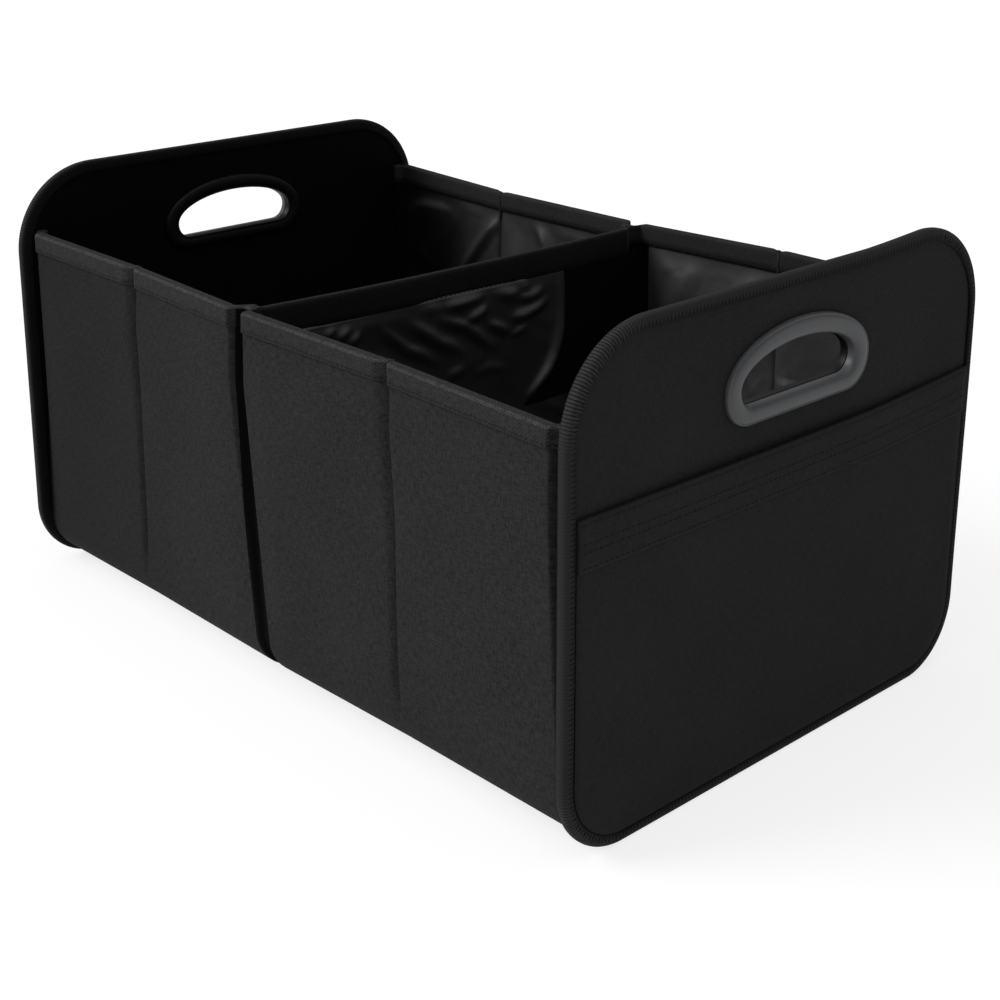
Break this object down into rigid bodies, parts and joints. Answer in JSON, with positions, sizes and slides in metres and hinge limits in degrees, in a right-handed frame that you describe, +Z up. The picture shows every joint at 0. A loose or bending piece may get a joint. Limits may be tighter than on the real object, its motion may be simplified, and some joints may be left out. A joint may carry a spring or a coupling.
{
  "type": "car trunk organizer",
  "caption": "Open-topped folding fabric box with two stiff end walls, grip slots, flat outer pockets and a sewn divider, for loose things in a car's trunk.",
  "frame": {"origin": "on the ground under the middle of the box", "axes": "+X along the box towards the near end wall, +Y across it, +Z up"},
  "size_m": [0.5042, 0.328, 0.27],
  "materials": {
    "woven": "black plain-woven polyester, matte",
    "wall": "charcoal black plain-woven polyester, matte",
    "tape": "black ribbed binding tape with a slight sheen",
    "lining": "thin shiny black lining cloth, creased",
    "board": "stiffener board, hidden in the cloth",
    "grip": "dark grey moulded plastic, satin",
    "counter": "black moulded plastic, satin"
  },
  "bodies": {
    "root": {"near_end_board": "board", "near_end_outer_cover": "woven", "near_end_inner_cover": "woven", "near_end_binding": "tape", "near_grip_ring": "grip", "near_grip_counter_ring": "counter", "near_pocket": "woven", "near_pocket_band": "tape", "near_outer_cloth": "wall", "near_lining": "lining", "near_front_inner_board": "board", "near_front_outer_board": "board", "near_front_hem": "tape", "near_back_inner_board": "board", "near_back_outer_board": "board", "near_back_hem": "tape", "near_divider_lining": "lining", "near_inner_base_board": "woven", "near_outer_base_board": "woven", "far_end_board": "board", "far_end_outer_cover": "woven", "far_end_inner_cover": "woven", "far_end_binding": "tape", "far_grip_ring": "grip", "far_grip_counter_ring": "counter", "far_pocket": "woven", "far_pocket_band": "tape", "far_outer_cloth": "wall", "far_lining": "lining", "far_front_inner_board": "board", "far_front_outer_board": "board", "far_front_hem": "tape", "far_back_inner_board": "board", "far_back_outer_board": "board", "far_back_hem": "tape", "far_divider_lining": "lining", "far_inner_base_board": "woven", "far_outer_base_board": "woven", "divider_board": "board", "divider_top_band": "tape"}
  },
  "joints": []
}
